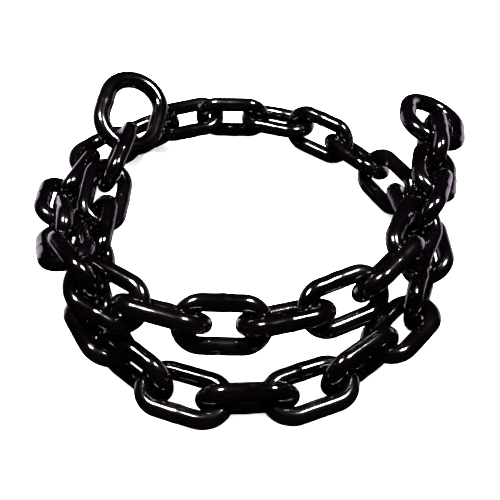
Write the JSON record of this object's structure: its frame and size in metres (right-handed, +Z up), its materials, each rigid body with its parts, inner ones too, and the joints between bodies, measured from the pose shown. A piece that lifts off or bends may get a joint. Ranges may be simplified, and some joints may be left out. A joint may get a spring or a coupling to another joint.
{
  "type": "short-link steel chain",
  "caption": "Length of black round-steel short-link chain with an oblong end link on each end, lying in a loose double coil.",
  "frame": {"origin": "middle of the bottom of the box around the coil, on the floor", "axes": "+Z up, X across the coil as the picture shows it from left to right, +Y away from the camera"},
  "size_m": [0.3696, 0.3548, 0.0869],
  "materials": {
    "chain_black": "very glossy black lacquer over round steel, clean",
    "end_link_black": "glossy black lacquer over forged round steel, clean"
  },
  "bodies": {
    "root": {"first_end_link": "end_link_black", "chain_link_01": "chain_black", "chain_link_02": "chain_black", "chain_link_03": "chain_black", "chain_link_04": "chain_black", "chain_link_05": "chain_black", "chain_link_06": "chain_black", "chain_link_07": "chain_black", "chain_link_08": "chain_black", "chain_link_09": "chain_black", "chain_link_10": "chain_black", "chain_link_11": "chain_black", "chain_link_12": "chain_black", "chain_link_13": "chain_black", "chain_link_14": "chain_black", "chain_link_15": "chain_black", "chain_link_16": "chain_black", "chain_link_17": "chain_black", "chain_link_18": "chain_black", "chain_link_19": "chain_black", "chain_link_20": "chain_black", "chain_link_21": "chain_black", "chain_link_22": "chain_black", "chain_link_23": "chain_black", "chain_link_24": "chain_black", "chain_link_25": "chain_black", "chain_link_26": "chain_black", "chain_link_27": "chain_black", "chain_link_28": "chain_black", "chain_link_29": "chain_black", "chain_link_30": "chain_black", "chain_link_31": "chain_black", "chain_link_32": "chain_black", "chain_link_33": "chain_black", "chain_link_34": "chain_black", "chain_link_35": "chain_black", "chain_link_36": "chain_black", "chain_link_37": "chain_black", "chain_link_38": "chain_black", "last_end_link": "end_link_black"}
  },
  "joints": []
}
